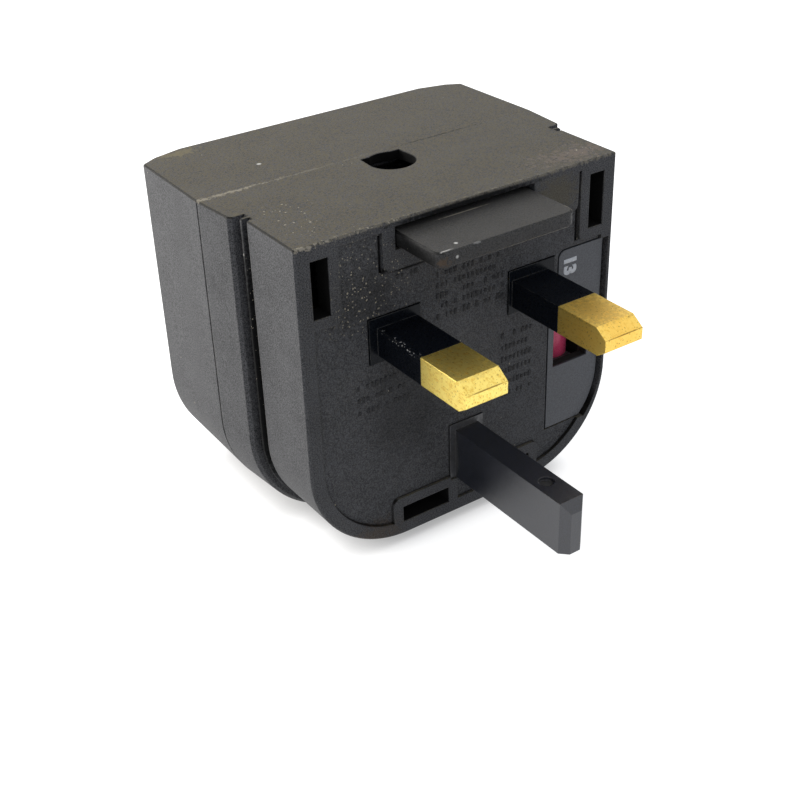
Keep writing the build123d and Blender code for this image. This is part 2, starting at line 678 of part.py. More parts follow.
PIECES = {
    "front_housing": front_housing(),
    "rear_housing": rear_housing(),
    "contact_insert": contact_insert(),
    "live_pin": power_pin(live_x),
    "neutral_pin": power_pin(-live_x),
    "live_pin_sleeve": pin_sleeve(1),
    "neutral_pin_sleeve": pin_sleeve(-1),
    "earth_pin": earth_pin(),
    "locking_tab": locking_tab(),
    "fuse_carrier": fuse_carrier(),
    "fuse_barrel": fuse_barrel(),
    "fuse_cap_upper": fuse_cap_upper(),
    "fuse_cap_lower": fuse_cap_lower(),
    "live_fuse_clip": live_fuse_clip(),
    "load_fuse_clip": load_fuse_clip(),
    "neutral_link": neutral_link(),
    "live_contact": contact_tube(1),
    "neutral_contact": contact_tube(-1),
    "live_contact_ring": contact_ring(1),
    "neutral_contact_ring": contact_ring(-1),
}

os.makedirs("parts", exist_ok=True)
for name, piece in PIECES.items():
    export_step(piece, f"parts/{name}.step")
    print(name, len(piece.solids()), round(piece.volume, 1))
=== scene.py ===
# %% [markdown]
# # A fused travel adapter
# The adapter is a small dark plastic block with two sleeved brass pins, a plastic earth pin, a
# locking tab and a fuse carrier. Its solids come ready made, in metres and in their own places, so
# this lesson is about what makes plastic and brass look used: grain, dust, rubbed edges and dirt.

import json
from collections import namedtuple

import bpy
from mathutils import Matrix, Vector


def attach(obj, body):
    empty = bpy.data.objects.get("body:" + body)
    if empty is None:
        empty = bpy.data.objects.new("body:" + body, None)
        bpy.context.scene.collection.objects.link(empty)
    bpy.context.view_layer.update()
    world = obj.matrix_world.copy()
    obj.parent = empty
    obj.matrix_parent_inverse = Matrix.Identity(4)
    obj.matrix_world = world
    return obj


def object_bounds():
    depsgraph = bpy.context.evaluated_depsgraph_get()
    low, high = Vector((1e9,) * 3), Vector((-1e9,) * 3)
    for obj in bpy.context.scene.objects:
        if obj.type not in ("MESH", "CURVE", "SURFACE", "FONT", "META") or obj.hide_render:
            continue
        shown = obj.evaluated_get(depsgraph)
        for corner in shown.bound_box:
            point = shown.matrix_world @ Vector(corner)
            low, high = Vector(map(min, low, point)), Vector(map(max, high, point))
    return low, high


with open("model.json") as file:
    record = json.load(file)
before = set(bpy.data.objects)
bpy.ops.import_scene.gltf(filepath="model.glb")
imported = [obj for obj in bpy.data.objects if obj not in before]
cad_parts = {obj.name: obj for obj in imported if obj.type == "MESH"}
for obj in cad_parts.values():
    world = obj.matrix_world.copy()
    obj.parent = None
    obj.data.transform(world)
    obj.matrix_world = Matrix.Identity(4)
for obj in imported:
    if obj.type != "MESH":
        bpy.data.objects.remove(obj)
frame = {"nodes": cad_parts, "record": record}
solid_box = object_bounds()
nodes = frame["nodes"]
MM = 0.001
box_mm = [tuple(round(v / MM, 1) for v in corner) for corner in solid_box]
print("solids", len(nodes), "box", box_mm)

# %% [markdown]
# ## The camera
# The view is from the left of the pin face and above it, with a short telephoto lens. A camera can
# be aimed with a Track To constraint, but a small roll is then hard to add. Here its own three axes
# are written as the columns of a matrix, which holds the aim and the roll in one place.

# %% Camera
CAMERA_PLACE = Vector((-94.29, -123.75, 81.18)) * MM
CAMERA_RIGHT = Vector((0.8202, -0.5713, -0.0295))
CAMERA_UP = Vector((0.3184, 0.4130, 0.8532))
CAMERA_LENS = 58.69
CAMERA_SENSOR = 36
CAMERA_NEAR = 5 * MM

camera_data = bpy.data.cameras.new("product_camera")
camera_data.lens = CAMERA_LENS
camera_data.sensor_width = CAMERA_SENSOR
camera_data.clip_start = CAMERA_NEAR
camera = bpy.data.objects.new("product_camera", camera_data)
bpy.context.scene.collection.objects.link(camera)
axes = Matrix((CAMERA_RIGHT, CAMERA_UP, CAMERA_RIGHT.cross(CAMERA_UP))).transposed()
camera.matrix_world = Matrix.LocRotScale(CAMERA_PLACE, axes.to_quaternion(), None)
bpy.context.scene.camera = camera
bpy.context.scene.view_settings.view_transform = "Standard"
print("camera", CAMERA_LENS, "mm lens")

# %% [markdown]
# ## Helpers for node trees
# A material is a graph, and a graph is easier to read when each node takes one line. The first
# helper adds a node and fills its inputs: a socket is wired, and a plain value is set. The others
# wrap the nodes used most: sums of numbers and of vectors, smooth steps, mixed colours and noise.

# %% Node helpers
def place(tree, kind, inputs=None, **settings):
    """Add one node, set its settings, and wire or set its inputs by name or number."""
    made = tree.nodes.new(kind)
    for key, value in settings.items():
        setattr(made, key, value)
    for key, value in (inputs or {}).items():
        if isinstance(value, bpy.types.NodeSocket):
            tree.links.new(value, made.inputs[key])
        else:
            made.inputs[key].default_value = value
    return made


def sums(tree, operation, first, second=0.0):
    """The result of one Math node."""
    return place(tree, "ShaderNodeMath", {0: first, 1: second}, operation=operation).outputs[0]


def vectors(tree, operation, *given, result="Vector"):
    """The result of one Vector Math node."""
    made = place(tree, "ShaderNodeVectorMath", dict(enumerate(given)), operation=operation)
    return made.outputs[result]


def between(tree, value, low, high, to_low=0.0, to_high=1.0):
    """A value's smooth way from low to high."""
    inputs = {"Value": value, "From Min": low, "From Max": high, "To Min": to_low, "To Max": to_high}
    return place(tree, "ShaderNodeMapRange", inputs, interpolation_type="SMOOTHSTEP").outputs[0]


def blend(tree, share, first, second):
    """Two colours mixed by a share from 0 to 1; a Mix node has its colours in sockets 6 and 7."""
    inputs = {0: share, 6: first, 7: second}
    return place(tree, "ShaderNodeMix", inputs, data_type="RGBA").outputs[2]


def noise(tree, position, scale, detail, roughness):
    """A soft random pattern; its scale counts features to the metre."""
    inputs = {"Vector": position, "Scale": scale, "Detail": detail, "Roughness": roughness}
    return place(tree, "ShaderNodeTexNoise", inputs).outputs[0]


print("node helpers ready")

# %% [markdown]
# ## Groups
# Grain, wear and dirt are on several materials, so each is made once, as a group with named
# sockets, and placed with its own values. A group could be drawn by hand in the shader editor. In a
# script, its sockets are added to the tree's interface before anything is wired to them.

# %% Group helper
FLOAT = "NodeSocketFloat"
VECTOR = "NodeSocketVector"


def new_group(name, inputs, outputs):
    """An empty shader group with named sockets, and its two end nodes."""
    tree = bpy.data.node_groups.new(name, "ShaderNodeTree")
    for label, kind, value in inputs:
        socket = tree.interface.new_socket(label, in_out="INPUT", socket_type=kind)
        if value is not None:
            socket.default_value = value
    for label, kind in outputs:
        tree.interface.new_socket(label, in_out="OUTPUT", socket_type=kind)
    start = tree.nodes.new("NodeGroupInput")
    end = tree.nodes.new("NodeGroupOutput")
    return tree, start.outputs, end.inputs


print("group helper ready")

# %% [markdown]
# ## Moulded grain
# The tool that moulds such a housing is spark eroded, which leaves a fine even grain on the
# plastic. It could be a displaced mesh, but the grain is a fifth of a millimetre across, so a bump
# pattern is enough. The same group gives a slow mottle, because handled plastic is never one tone.

# %% Moulded grain
GRAINS_PER_METRE = 5200.0
MOTTLES_PER_METRE = 160.0
FINE_SHARE = 0.85
TONE_SPREAD = (0.35, 0.65)

grain, given, made = new_group(
    "Moulded grain",
    [("Position", VECTOR, None), ("Grains per metre", FLOAT, GRAINS_PER_METRE)],
    [("Height", FLOAT), ("Tone", FLOAT)],
)
fine = noise(grain, given["Position"], given["Grains per metre"], detail=3.0, roughness=0.75)
slow = noise(grain, given["Position"], MOTTLES_PER_METRE, detail=4.0, roughness=0.6)
fine_part = sums(grain, "MULTIPLY", fine, FINE_SHARE)
slow_part = sums(grain, "MULTIPLY", slow, 1.0 - FINE_SHARE)
tone = sums(grain, "ADD", fine_part, slow_part)
grain.links.new(fine, made["Height"])
grain.links.new(between(grain, tone, *TONE_SPREAD), made["Tone"])
print("group", grain.name, len(grain.nodes), "nodes")

# %% [markdown]
# ## Rubbed edges
# Plastic and brass go pale along their edges. A Bevel node looks for other faces within a short
# radius and rounds the normal there. Where the rounded normal leaves the true one, there is an
# edge, and a noise breaks the line up. The rounded normal itself catches light, as a worn edge does.

# %% Rubbed edges
EDGE_WIDTH = 0.2 * MM
EDGE_SAMPLES = 6
BREAKS_PER_METRE = 420.0
TURN_SPREAD = (0.97, 0.8)
BREAK_SPREAD = (0.36, 0.62)

rubbed, given, made = new_group(
    "Rubbed edges",
    [("Position", VECTOR, None), ("Width", FLOAT, EDGE_WIDTH)],
    [("Mask", FLOAT), ("Normal", VECTOR)],
)
bevel = place(rubbed, "ShaderNodeBevel", {"Radius": given["Width"]}, samples=EDGE_SAMPLES)
rounded = bevel.outputs[0]
true_normal = place(rubbed, "ShaderNodeNewGeometry").outputs["Normal"]
facing = vectors(rubbed, "DOT_PRODUCT", rounded, true_normal, result="Value")
turned = between(rubbed, facing, *TURN_SPREAD)
breaks = noise(rubbed, given["Position"], BREAKS_PER_METRE, detail=3.0, roughness=0.65)
mask = sums(rubbed, "MULTIPLY", turned, between(rubbed, breaks, *BREAK_SPREAD))
rubbed.links.new(mask, made["Mask"])
rubbed.links.new(rounded, made["Normal"])
print("group", rubbed.name, len(rubbed.nodes), "nodes")

# %% [markdown]
# ## Specks
# Dust and tiny nicks show as pale dots, far apart and of many sizes. A Voronoi pattern has one
# point in each cell: a dot is drawn round it, and the cell's random colour says whether this cell
# has a dot at all, and how large. Real specks aren't round, so a noise shakes the pattern first.

# %% Specks
SHAKES_PER_METRE = 3000.0
SHAKE = Vector((0.35, 0.35, 0.35)) * MM
SMALLEST_SPECK = 0.04

specks, given, made = new_group(
    "Specks",
    [
        ("Position", VECTOR, None),
        ("Cells per metre", FLOAT, 1500.0),
        ("Share", FLOAT, 0.1),
        ("Largest", FLOAT, 0.16),
    ],
    [("Mask", FLOAT)],
)
shake = place(
    specks, "ShaderNodeTexNoise", {"Vector": given["Position"], "Scale": SHAKES_PER_METRE}
)
shaken = vectors(specks, "MULTIPLY_ADD", shake.outputs["Color"], SHAKE, given["Position"])
cells = place(
    specks, "ShaderNodeTexVoronoi", {"Vector": shaken, "Scale": given["Cells per metre"]}
).outputs
lot = place(specks, "ShaderNodeSeparateColor", {0: cells["Color"]}).outputs
kept = sums(specks, "LESS_THAN", lot[0], given["Share"])
size = between(specks, lot[1], 0.0, 1.0, SMALLEST_SPECK, given["Largest"])
dot = sums(specks, "LESS_THAN", cells["Distance"], size)
specks.links.new(sums(specks, "MULTIPLY", kept, dot), made["Mask"])
print("group", specks.name, len(specks.nodes), "nodes")

# %% [markdown]
# ## A patch of wear or dirt
# Some marks have a place of their own: a stain on one corner, a worn stretch of the seam. Each is
# an ellipsoid with a ragged border, given by its middle and its reach in metres. It sits in space,
# so it lies on whatever surface passes through it, and stays there from any side.

# %% Patch
TEARS_PER_METRE = 1500.0
TEAR_DEPTH = 3.0
BORDER_SPREAD = (1.0, 0.35)
NOISE_MIDDLE = 0.5

patch, given, made = new_group(
    "Patch",
    [
        ("Position", VECTOR, None),
        ("Middle", VECTOR, None),
        ("Reach", VECTOR, None),
        ("Ragged", FLOAT, 0.6),
    ],
    [("Mask", FLOAT)],
)
away = vectors(patch, "SUBTRACT", given["Position"], given["Middle"])
scaled = vectors(patch, "DIVIDE", away, given["Reach"])
distance = vectors(patch, "LENGTH", scaled, result="Value")
torn = noise(patch, given["Position"], TEARS_PER_METRE, detail=4.0, roughness=0.7)
uneven = sums(patch, "SUBTRACT", torn, NOISE_MIDDLE)
shift = sums(patch, "MULTIPLY", uneven, given["Ragged"])
border = sums(patch, "ADD", distance, sums(patch, "MULTIPLY", shift, TEAR_DEPTH))
patch.links.new(between(patch, border, *BORDER_SPREAD), made["Mask"])
print("group", patch.name, len(patch.nodes), "nodes")

# %% [markdown]
# ## Painted shade in corners
# Inner corners get little light, and here that shade is painted on as a dark colour. Each corner
# could be named by hand, but an Ambient Occlusion node measures how closed in a point is, which
# finds the corners by itself.

# %% Corner shade
CORNER_REACH = 0.5 * MM
CORNER_SAMPLES = 8
CLOSED_SPREAD = (0.8, 0.45)

# This mask places painted shade in inner corners.
corner_shade, given, made = new_group(
    "Corner shade", [("Reach", FLOAT, CORNER_REACH)], [("Mask", FLOAT)]
)
closed = place(
    corner_shade,
    "ShaderNodeAmbientOcclusion",
    {"Distance": given["Reach"]},
    samples=CORNER_SAMPLES,
    only_local=True,
)
corner_shade.links.new(
    between(corner_shade, closed.outputs["AO"], *CLOSED_SPREAD), made["Mask"]
)
print("group", corner_shade.name, len(corner_shade.nodes), "nodes")

# %% [markdown]
# ## Deep places
# The snap slots and the tool hole are black inside, where little light gets in, and that shade is
# painted. Their walls belong to the same solid as the faces round them, so they can't have a
# material of their own. Instead a box says where each one is, and the painted shade begins a little
# way in.

# %% Deep place
BOX_SPREAD = (1.1, 1.02)

# This mask places painted shade inside the slots and the hole.
deep_place, given, made = new_group(
    "Deep place",
    [
        ("Position", VECTOR, None),
        ("Middle", VECTOR, None),
        ("Half", VECTOR, None),
        ("Inward", VECTOR, None),
        ("Fade", FLOAT, 0.5 * MM),
    ],
    [("Mask", FLOAT)],
)
away = vectors(deep_place, "SUBTRACT", given["Position"], given["Middle"])
shares = vectors(deep_place, "DIVIDE", vectors(deep_place, "ABSOLUTE", away), given["Half"])
side = place(deep_place, "ShaderNodeSeparateXYZ", {0: shares}).outputs
across = sums(deep_place, "MAXIMUM", side["X"], side["Y"])
across = sums(deep_place, "MAXIMUM", across, side["Z"])
depth = vectors(deep_place, "DOT_PRODUCT", away, given["Inward"], result="Value")
in_box = between(deep_place, across, *BOX_SPREAD)
in_deep = between(deep_place, depth, 0.0, given["Fade"])
deep_place.links.new(sums(deep_place, "MULTIPLY", in_box, in_deep), made["Mask"])
print("group", deep_place.name, len(deep_place.nodes), "nodes")

# %% [markdown]
# ## Starting a material
# Every material begins in the same way: a shader, and a position to read patterns at. Object
# coordinates are in metres here and move with the piece, so a pattern stays where it is when the
# tab or the fuse carrier slides. UV maps would do too, but the solids have none.

# %% Material helpers
def use(tree, group, **inputs):
    """Place a group, with its inputs given as words joined by underscores."""
    made = tree.nodes.new("ShaderNodeGroup")
    made.node_tree = group
    for key, value in inputs.items():
        socket = made.inputs[key.replace("_", " ")]
        if isinstance(value, bpy.types.NodeSocket):
            tree.links.new(value, socket)
        else:
            socket.default_value = value
    return made.outputs


def start_material(name):
    """A new material with its shader and its Object coordinates."""
    material = bpy.data.materials.new(name)
    material.use_nodes = True
    tree = material.node_tree
    shader = tree.nodes["Principled BSDF"]
    position = place(tree, "ShaderNodeTexCoord").outputs["Object"]
    return material, tree, shader, position


def colour(red, green, blue):
    """An opaque colour, as light and not as screen values."""
    return (red, green, blue, 1.0)


print("material helpers ready")

# %% [markdown]
# ## Laying marks on a colour
# A mark is one patch with a tint: where it is, how far it reaches in millimetres, how strong and
# how ragged. Where it has a share of dots, only specks of it are left. Grime and painted shade are
# also dull: their mask is kept apart, so that such a place loses its shine as well as its colour.

# %% Marks
Mark = namedtuple("Mark", "middle reach tint share ragged dots", defaults=(0.0,))
# One near-black serves both real grime and painted shade.
GRIME_AND_SHADE = colour(0.004, 0.004, 0.004)
DOTS_PER_METRE = 2400.0
LARGEST_DOT = 0.34


def add_marks(tree, position, skin, marks):
    """Lay marks over a colour; gives the new colour, and how dull grime and shade make it."""
    dull = 0.0
    for mark in marks:
        mask = use(
            tree,
            patch,
            Position=position,
            Middle=Vector(mark.middle) * MM,
            Reach=Vector(mark.reach) * MM,
            Ragged=mark.ragged,
        )["Mask"]
        if mark.dots:
            dotted = use(
                tree,
                specks,
                Position=position,
                Cells_per_metre=DOTS_PER_METRE,
                Share=mark.dots,
                Largest=LARGEST_DOT,
            )
            mask = sums(tree, "MULTIPLY", mask, dotted["Mask"])
        mask = sums(tree, "MULTIPLY", mask, mark.share)
        skin = blend(tree, mask, skin, mark.tint)
        if mark.tint == GRIME_AND_SHADE:
            dull = sums(tree, "MAXIMUM", dull, mask)
    return skin, dull


print("marks ready")

# %% [markdown]
# ## Settled dust and edge shade
# Dust lies on what looks up, and the sides stay cleaner, so its amount follows the upward part of
# the normal, broken up by a noise. Along the long edges, where the flat side turns down, a dark
# line is painted on as shade. The rounded normal of the rubbed edges says where that is.

# %% Dust and edge shade
DUST = colour(0.17, 0.142, 0.078)
CLUMPS_PER_METRE = 3400.0
CLUMP_SPREAD = (0.38, 0.62)
MOST_IN_CLUMPS = 2.0
UPWARD_SPREAD = (0.3, 0.95)
SIDEWAYS_SPREAD = (0.15, 0.4)
SLANT_SPREAD = (0.25, 0.5)
EDGE_SHADE_SHARE = 0.9


def settle_dust_and_edge_shade(tree, position, skin, amount, rounded):
    """Dust on what looks up, and painted shade along the rounded edges beside it."""
    normal = place(tree, "ShaderNodeNewGeometry").outputs["True Normal"]
    faces = place(tree, "ShaderNodeSeparateXYZ", {0: normal}).outputs
    lies = between(tree, faces["Z"], *UPWARD_SPREAD, 0.0, amount)
    clumps = noise(tree, position, CLUMPS_PER_METRE, detail=4.0, roughness=0.8)
    uneven = between(tree, clumps, *CLUMP_SPREAD, 0.0, MOST_IN_CLUMPS)
    skin = blend(tree, sums(tree, "MULTIPLY", lies, uneven), skin, DUST)
    # Painted shade: a dark line along the rounded edges where the flat side turns down.
    turned = place(tree, "ShaderNodeSeparateXYZ", {0: rounded}).outputs
    sideways = between(tree, sums(tree, "ABSOLUTE", turned["X"]), *SIDEWAYS_SPREAD)
    slanted = sums(tree, "MULTIPLY", sideways, between(tree, turned["Z"], *SLANT_SPREAD))
    return blend(tree, sums(tree, "MULTIPLY", slanted, EDGE_SHADE_SHARE), skin, GRIME_AND_SHADE)


print("dust and edge shade ready")

# %% [markdown]
# ## Painted shade in hollows
# The last layer is painted shade where little light reaches: in the inner corners, and behind the
# mouths of the slots. A mouth is given by its middle, half its sides, the way in, and how soon it is
# dark. As on the marks, the colour and the dullness go on together.

# %% Painted shade in hollows
Mouth = namedtuple("Mouth", "middle half inward fade")


def paint_hollow_shade(tree, position, skin, dull, corners, mouths):
    """Painted shade in the inner corners and in the deep places, which it makes dull."""
    # Both steps paint shade: inner corners and the insides of slots and holes go near black and dull.
    if corners:
        packed = sums(tree, "MULTIPLY", use(tree, corner_shade)["Mask"], corners)
        skin = blend(tree, packed, skin, GRIME_AND_SHADE)
        dull = sums(tree, "MAXIMUM", dull, packed)
    for mouth in mouths:
        hidden = use(
            tree,
            deep_place,
            Position=position,
            Middle=Vector(mouth.middle) * MM,
            Half=Vector(mouth.half) * MM,
            Inward=Vector(mouth.inward),
            Fade=mouth.fade * MM,
        )["Mask"]
        skin = blend(tree, hidden, skin, GRIME_AND_SHADE)
        dull = sums(tree, "MAXIMUM", dull, hidden)
    return skin, dull


print("painted hollow shade ready")

# %% [markdown]
# ## Plastic
# All the plastic pieces share one recipe and differ in their values: the mottle of two tones,
# rubbed edges, dust with painted edge shade, marks, painted shade in hollows, and specks. Each
# piece could have a graph of its own. One recipe goes layer by layer, from the bare plastic outwards.

# %% Plastic
CREAM = colour(0.62, 0.55, 0.42)
PALE = colour(0.34, 0.33, 0.30)
SPECK_STRENGTH = 0.7
GRAIN_DEPTH = 0.08 * MM


def plastic(
    name,
    dark,
    light,
    rough,
    bump=0.3,
    dust=0.0,
    edge=0.5,
    edge_width=EDGE_WIDTH,
    speck_share=0.0,
    gloss=0.3,
    marks=(),
    corners=0.0,
    mouths=(),
):
    """Moulded plastic: two tones, rubbed edges, dust on top, marks, painted shade and specks."""
    material, tree, shader, position = start_material(name)
    moulded = use(tree, grain, Position=position)
    skin = blend(tree, moulded["Tone"], dark, light)
    worn = use(tree, rubbed, Position=position, Width=edge_width)
    skin = blend(tree, sums(tree, "MULTIPLY", worn["Mask"], edge), skin, PALE)
    if dust:
        skin = settle_dust_and_edge_shade(tree, position, skin, dust, worn["Normal"])
    skin, dull = add_marks(tree, position, skin, marks)
    skin, dull = paint_hollow_shade(tree, position, skin, dull, corners, mouths)
    if speck_share:
        dots = use(tree, specks, Position=position, Share=speck_share)["Mask"]
        skin = blend(tree, sums(tree, "MULTIPLY", dots, SPECK_STRENGTH), skin, CREAM)
    tree.links.new(skin, shader.inputs["Base Color"])
    polish = between(tree, moulded["Tone"], 0.0, 1.0, *rough)
    tree.links.new(sums(tree, "MAXIMUM", polish, dull), shader.inputs["Roughness"])
    shader.inputs["Specular IOR Level"].default_value = gloss
    relief = place(
        tree,
        "ShaderNodeBump",
        {
            "Strength": bump,
            "Distance": GRAIN_DEPTH,
            "Height": moulded["Height"],
            "Normal": worn["Normal"],
        },
    )
    tree.links.new(relief.outputs[0], shader.inputs["Normal"])
    return material


finish = {}
print("plastic recipe ready")

# %% [markdown]
# ## Wear and dirt of the flat side
# The flat side is the one that lies up, and it has had most of the handling. Its seam is rubbed
# pale at the left end and dirty at the right, its front edge is chipped, and a few specks lie on
# it. One noise over the whole side would look alike everywhere, so each mark has its own place.

# %% Marks of the flat side
WHITE = colour(0.75, 0.73, 0.68)
OCHRE = colour(0.34, 0.28, 0.14)
PINKISH = colour(0.3, 0.23, 0.19)
SEAM_DIRT = Mark((10.0, 20.95, 16.3), (11.0, 0.22, 0.4), GRIME_AND_SHADE, share=0.6, ragged=1.2)
SEAM_WEAR = Mark((-24.5, 21.0, 16.3), (6.5, 0.45, 0.5), CREAM, share=0.36, ragged=2.2)
SEAM_FADE = Mark((-15.0, 21.0, 16.3), (14.0, 0.3, 0.4), CREAM, share=0.15, ragged=2.2)
BACK_STAIN = Mark((-21.8, 38.4, 16.2), (3.6, 1.6, 0.8), OCHRE, share=0.35, ragged=1.3)
CORNER_EDGE = Mark((-24.5, 0.1, 16.2), (2.6, 0.35, 0.35), CREAM, share=0.6, ragged=1.8)
FRONT_EDGE = Mark((-14.0, 0.2, 16.1), (14.0, 0.6, 0.6), CREAM, share=0.75, ragged=0.8, dots=0.9)
LONG_EDGE = Mark((0.0, 0.1, 16.2), (36.0, 0.35, 0.35), CREAM, share=0.22, ragged=2.2)
RIGHT_SCUFF = Mark((20.5, 3.2, 16.3), (6.5, 2.4, 0.6), PINKISH, share=0.4, ragged=2.2)
RIGHT_SPECKS = Mark((22.0, 4.0, 16.3), (3.5, 2.2, 0.5), CREAM, share=0.9, ragged=0.8, dots=0.25)
TOP_SPECKS = Mark((-19.8, 8.0, 16.3), (6.0, 8.5, 0.5), CREAM, share=0.7, ragged=0.6, dots=0.2)
LONE_SPECK = Mark((-14.9, 27.4, 16.3), (0.45, 0.4, 0.3), WHITE, share=1.0, ragged=0.2)
print("seam, edges and specks of the flat side")

# %% [markdown]
# ## Painted shade and marks of the pin face and the neck
# Round the pins, over the tab and under the low edge of the raised panel, the pin face has painted
# shade and painted shadow. A darker patch lies at its upper left and a brown one along its low edge.
# The neck behind the flange is a groove, painted dark all the way down as shade. All are large soft
# patches, with pale dust specks on top of some of them.

# %% Marks of the pin face and the neck
EARTH_BROWN = colour(0.13, 0.085, 0.05)
# A darker patch at the upper left of the pin face.
FACE_DARK_PATCH = Mark((-16.0, 0.4, 6.0), (6.5, 1.0, 6.0), GRIME_AND_SHADE, share=0.45, ragged=0.6)
# Painted shadow of the pins on the face round their roots.
PIN_SHADOW = Mark((-9.0, 0.4, -11.0), (9.0, 1.0, 13.0), GRIME_AND_SHADE, share=0.4, ragged=0.4)
# Painted shade under the low edge of the raised panel.
PANEL_LOW_SHADE = Mark((-8.8, 0.25, 9.25), (5.6, 1.0, 0.5), GRIME_AND_SHADE, share=0.95, ragged=0.2)
PANEL_CORNER_SHADE = Mark((-12.9, 0.25, 9.6), (0.7, 1.0, 0.6), GRIME_AND_SHADE, share=0.9, ragged=0.2)
# A brown patch along the low edge of the pin face.
LOW_BROWN = Mark((-17.0, 0.6, -30.4), (7.5, 1.6, 3.0), EARTH_BROWN, share=0.35, ragged=0.8)
FACE_SPECKS = Mark((-15.5, 0.3, 9.0), (8.5, 1.0, 10.0), CREAM, share=0.85, ragged=0.6, dots=0.45)
FACE_DUST = Mark((15.0, 0.1, 12.5), (5.0, 0.8, 4.0), DUST, share=0.4, ragged=0.7)
# Painted shade over the tab.
OVER_TAB_SHADE = Mark((0.0, 0.0, 15.75), (17.0, 0.8, 0.62), GRIME_AND_SHADE, share=0.9, ragged=0.5)
# Painted shade in the neck groove behind the flange.
NECK_LEFT_SHADE = Mark((-25.6, 12.4, -7.0), (2.6, 1.4, 33.0), GRIME_AND_SHADE, share=0.92, ragged=0.25)
NECK_RIGHT_SHADE = Mark((25.6, 12.4, -7.0), (2.6, 1.4, 33.0), GRIME_AND_SHADE, share=0.92, ragged=0.25)
NECK_SPECKS = Mark((-25.6, 12.4, 2.0), (1.5, 1.2, 15.0), CREAM, share=0.8, ragged=0.5, dots=0.3)
NICK = Mark((-25.8, 12.4, 11.4), (0.5, 0.3, 0.3), WHITE, share=1.0, ragged=0.2)
print("shade and marks of the pin face and the neck")

# %% [markdown]
# ## The housing
# Both halves are the same black plastic, grained and grey with dust. Its gloss is low, because the
# grain scatters what little light it mirrors. It has five mouths, in millimetres: the four snap
# slots and the tool hole, whose insides have painted shade. The recipe takes them with all the
# marks, in the order they were laid.

# %% Housing finish
ALONG_Y = (0.0, 1.0, 0.0)
DOWN = (0.0, 0.0, -1.0)
# Painted shade inside each mouth.
HOUSING_MOUTHS = (
    Mouth((-22.4, 0.1, 10.2), (1.4, 9.0, 4.1), ALONG_Y, fade=0.15),
    Mouth((22.4, 0.1, 10.2), (1.4, 9.0, 4.1), ALONG_Y, fade=0.15),
    Mouth((-7.4, 0.1, -28.6), (4.1, 9.0, 1.4), ALONG_Y, fade=0.15),
    Mouth((7.4, 0.1, -28.6), (4.1, 9.0, 1.4), ALONG_Y, fade=0.15),
    Mouth((0.0, 16.95, 16.29), (3.6, 3.75, 14.0), DOWN, fade=0.12),
)
HOUSING_MARKS = (
    FACE_DARK_PATCH,
    PIN_SHADOW,
    PANEL_LOW_SHADE,
    PANEL_CORNER_SHADE,
    SEAM_DIRT,
    SEAM_WEAR,
    SEAM_FADE,
    BACK_STAIN,
    CORNER_EDGE,
    FRONT_EDGE,
    LONG_EDGE,
    RIGHT_SCUFF,
    RIGHT_SPECKS,
    LOW_BROWN,
    TOP_SPECKS,
    FACE_SPECKS,
    FACE_DUST,
    LONE_SPECK,
    OVER_TAB_SHADE,
    NECK_LEFT_SHADE,
    NECK_RIGHT_SHADE,
    NECK_SPECKS,
    NICK,
)
finish["housing_plastic"] = plastic(
    "housing_plastic",
    dark=colour(0.03, 0.0303, 0.0315),
    light=colour(0.16, 0.1605, 0.166),
    rough=(0.5, 0.66),
    bump=0.9,
    dust=0.38,
    # Painted shade in the inner corners.
    corners=0.9,
    mouths=HOUSING_MOUTHS,
    edge=0.35,
    edge_width=0.28 * MM,
    speck_share=0.02,
    gloss=0.14,
    marks=HOUSING_MARKS,
)
print("housing marks", len(HOUSING_MARKS), "mouths", len(HOUSING_MOUTHS))

# %% [markdown]
# ## The locking tab
# The tab is darker than the housing, and smoother because fingers push it. Its front corner is
# worn to white, there is a little brown dirt under that corner, and the side away from the light
# has painted shade. The same recipe makes it, with its own tones and marks.

# %% Tab finish
# Painted shade on the tab's side away from the light.
TAB_SIDE_SHADE = Mark((-11.2, -3.0, 13.0), (0.8, 12.0, 2.6), GRIME_AND_SHADE, share=0.95, ragged=0.15)
TAB_DIRT = Mark((-10.1, -8.6, 13.3), (1.1, 0.9, 0.7), EARTH_BROWN, share=0.6, ragged=1.3)
TAB_CORNER_WEAR = Mark((-9.6, -8.25, 14.6), (1.2, 0.2, 0.2), WHITE, share=0.7, ragged=0.6)
TAB_FRONT_WEAR = Mark((-5.0, -8.6, 14.6), (0.8, 0.2, 0.2), WHITE, share=0.35, ragged=0.8)
TAB_END_WEAR = Mark((10.8, -7.6, 13.9), (0.45, 1.3, 1.6), CREAM, share=0.35, ragged=0.7)
TAB_LOW_EDGE = Mark((4.0, -8.7, 12.6), (9.0, 0.3, 0.2), PALE, share=0.6, ragged=0.6)
TAB_LINE = Mark((-0.8, -0.15, 14.65), (5.5, 0.16, 0.3), CREAM, share=0.7, ragged=0.3)
TAB_SPECK = Mark((-7.2, -7.2, 14.65), (0.35, 0.35, 0.3), WHITE, share=1.0, ragged=0.1)
TAB_FRONT_SPECK = Mark((-8.2, -8.8, 13.7), (0.3, 0.3, 0.3), WHITE, share=1.0, ragged=0.1)
TAB_MARKS = (
    TAB_SIDE_SHADE,
    TAB_DIRT,
    TAB_CORNER_WEAR,
    TAB_FRONT_WEAR,
    TAB_END_WEAR,
    TAB_LOW_EDGE,
    TAB_LINE,
    TAB_SPECK,
    TAB_FRONT_SPECK,
)
finish["tab_plastic"] = plastic(
    "tab_plastic",
    dark=colour(0.02, 0.02, 0.0205),
    light=colour(0.095, 0.094, 0.094),
    rough=(0.46, 0.6),
    bump=0.6,
    dust=0.08,
    # Painted shade in the inner corners.
    corners=0.6,
    edge=0.35,
    edge_width=0.18 * MM,
    speck_share=0.02,
    gloss=0.2,
    marks=TAB_MARKS,
)
print("tab marks", len(TAB_MARKS))
